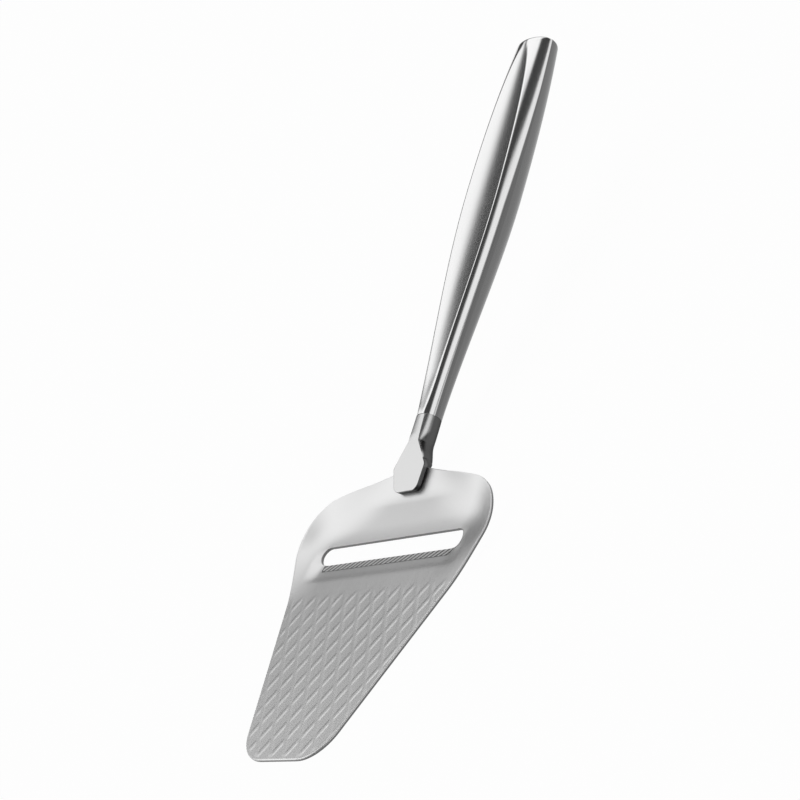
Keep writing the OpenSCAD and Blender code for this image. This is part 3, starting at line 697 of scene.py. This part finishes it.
for piece, finish, slotName, nodeName in ((blade, bladeSteel, "blade_steel", "blade"),
                                          (neck, neckSteel, "neck_steel", "neck"),
                                          (topShell, handlePolish, "handle_steel", "handle_top_shell"),
                                          (underShell, handleUnderShade, "handle_steel", "handle_bottom_shell")):
    piece.data.materials.append(finish)
    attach(piece, "root")
    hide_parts(nodeName)
for nodeName, finish in (("tang_bond", bondResin), ("front_weld", weldSteel), ("rear_weld", weldSteel)):
    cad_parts[nodeName].data.materials.clear()
    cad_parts[nodeName].data.materials.append(finish)

# floor with a low wall around it, in metres: pale, white to camera, mirror and glass rays, with a share of
# plain shading that keeps the shadow
floorSize = {"half": 5, "wall": 0.5, "white": 0.97, "tone": 0.85}
half, lowest = floorSize["half"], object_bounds()[0][2]
corners = [(-half, -half), (half, -half), (half, half), (-half, half)]
floorMesh = bpy.data.meshes.new("floor")
floorMesh.from_pydata([(x, y, z) for z in (lowest, lowest + floorSize["wall"]) for x, y in corners], [],
                      [(0, 1, 2, 3)] + [(k, k + 4, (k + 1) % 4 + 4, (k + 1) % 4) for k in range(4)])
floor = bpy.data.objects.new("floor", floorMesh)
scene.collection.objects.link(floor)
paleFloor = bpy.data.materials.new("paleFloor")
paleFloor.use_nodes = True
tree = paleFloor.node_tree
tree.nodes.clear()
plain = addNode(tree, "BsdfDiffuse", {}, {"Color": grey(floorSize["tone"])})
bright = addNode(tree, "Emission", {}, {"Color": grey(1.0), "Strength": 1.0})
cameraRay = addNode(tree, "LightPath", {}, {}, "Is Camera Ray")
seen = cameraRay + cameraRay.other("Is Glossy Ray") + cameraRay.other("Is Transmission Ray")
mixed = addNode(tree, "MixShader", {}, {0: seen * floorSize["white"], 1: plain, 2: bright})
tree.links.new(mixed.socket, tree.nodes.new("ShaderNodeOutputMaterial").inputs["Surface"])
floorMesh.materials.append(paleFloor)

# studio light: a dim room with a wide soft box (key) in the west behind a dark flag, and a bar in the east,
# each a window of smooth steps on the direction of view; east is X, north is Y
studio = {"dark": 0.06, "rightDark": 0.22, "keyAxis": (-0.95, 0.31), "keyLow": (0.28, 0.42),
          "keyTop": (0.88, 0.97), "keySide": (0, 0.15), "keyLevel": 1.2, "flagSide": (0.315, 0.35),
          "flagSlant": 0.1, "flagLow": (0.27, 0.34), "flagTop": (0.71, 0.84), "flagTilt": 0.43,
          "flagNorth": (0.46, 0.52), "lipTop": (0.46, 0.56), "barAxis": (0.95, 0.31), "barLow": (0.28, 0.4),
          "barTop": (0.76, 0.87), "barSide": (0.2, 0.35), "barLevel": 1.0, "sinkFrom": 0.33, "sink": 1.8,
          "paleTop": (0.15, 0.3), "paleLevel": 0.6}
room = bpy.data.worlds.new("room")
room.use_nodes = True
scene.world = room
tree = room.node_tree
direction = addNode(tree, "TexCoord", {}, {}, "Generated")
east = addNode(tree, "SeparateXYZ", {}, {"Vector": direction}, "X")
north, height = east.other("Y"), east.other("Z")


def window(value, ends):
    # smooth step of a value between two ends
    return addNode(value.tree, "MapRange", {"interpolation_type": "SMOOTHSTEP"},
                   {"Value": value, "From Min": ends[0], "From Max": ends[1]})


def toward(axis):
    return east * axis[0] + north * axis[1]


farNorth = window(north, studio["flagNorth"])
flag = window(north + height * studio["flagSlant"], studio["flagSide"]) * window(height, studio["flagLow"])
flag = flag * (1 - window(height + north * studio["flagTilt"], studio["flagTop"])) * (1 - farNorth)
flag = flag + farNorth * (1 - window(height, studio["lipTop"]))  # in the far north a low flag takes its place
key = window(height, studio["keyLow"]) * (1 - window(height, studio["keyTop"])) * (1 - flag)
key = key * window(toward(studio["keyAxis"]), studio["keySide"])
onRight = window(toward(studio["barAxis"]), studio["barSide"])
sunk = height + (north - studio["sinkFrom"]).atLeast(0) * studio["sink"]  # the bar sinks to the north
aboveBar = window(sunk, studio["barLow"])
bar = onRight * aboveBar * (1 - window(sunk, studio["barTop"]))
lowRight = onRight * (1 - aboveBar)
light = studio["dark"] + key * studio["keyLevel"] + bar * studio["barLevel"] + lowRight * studio["rightDark"]
light = light + onRight * (1 - window(height, studio["paleTop"])) * (1 - bar) * studio["paleLevel"]
plug(tree, tree.nodes["Background"].inputs["Strength"], light)
plug(tree, tree.nodes["Background"].inputs["Color"], grey(1.0))
print("floor and light placed")
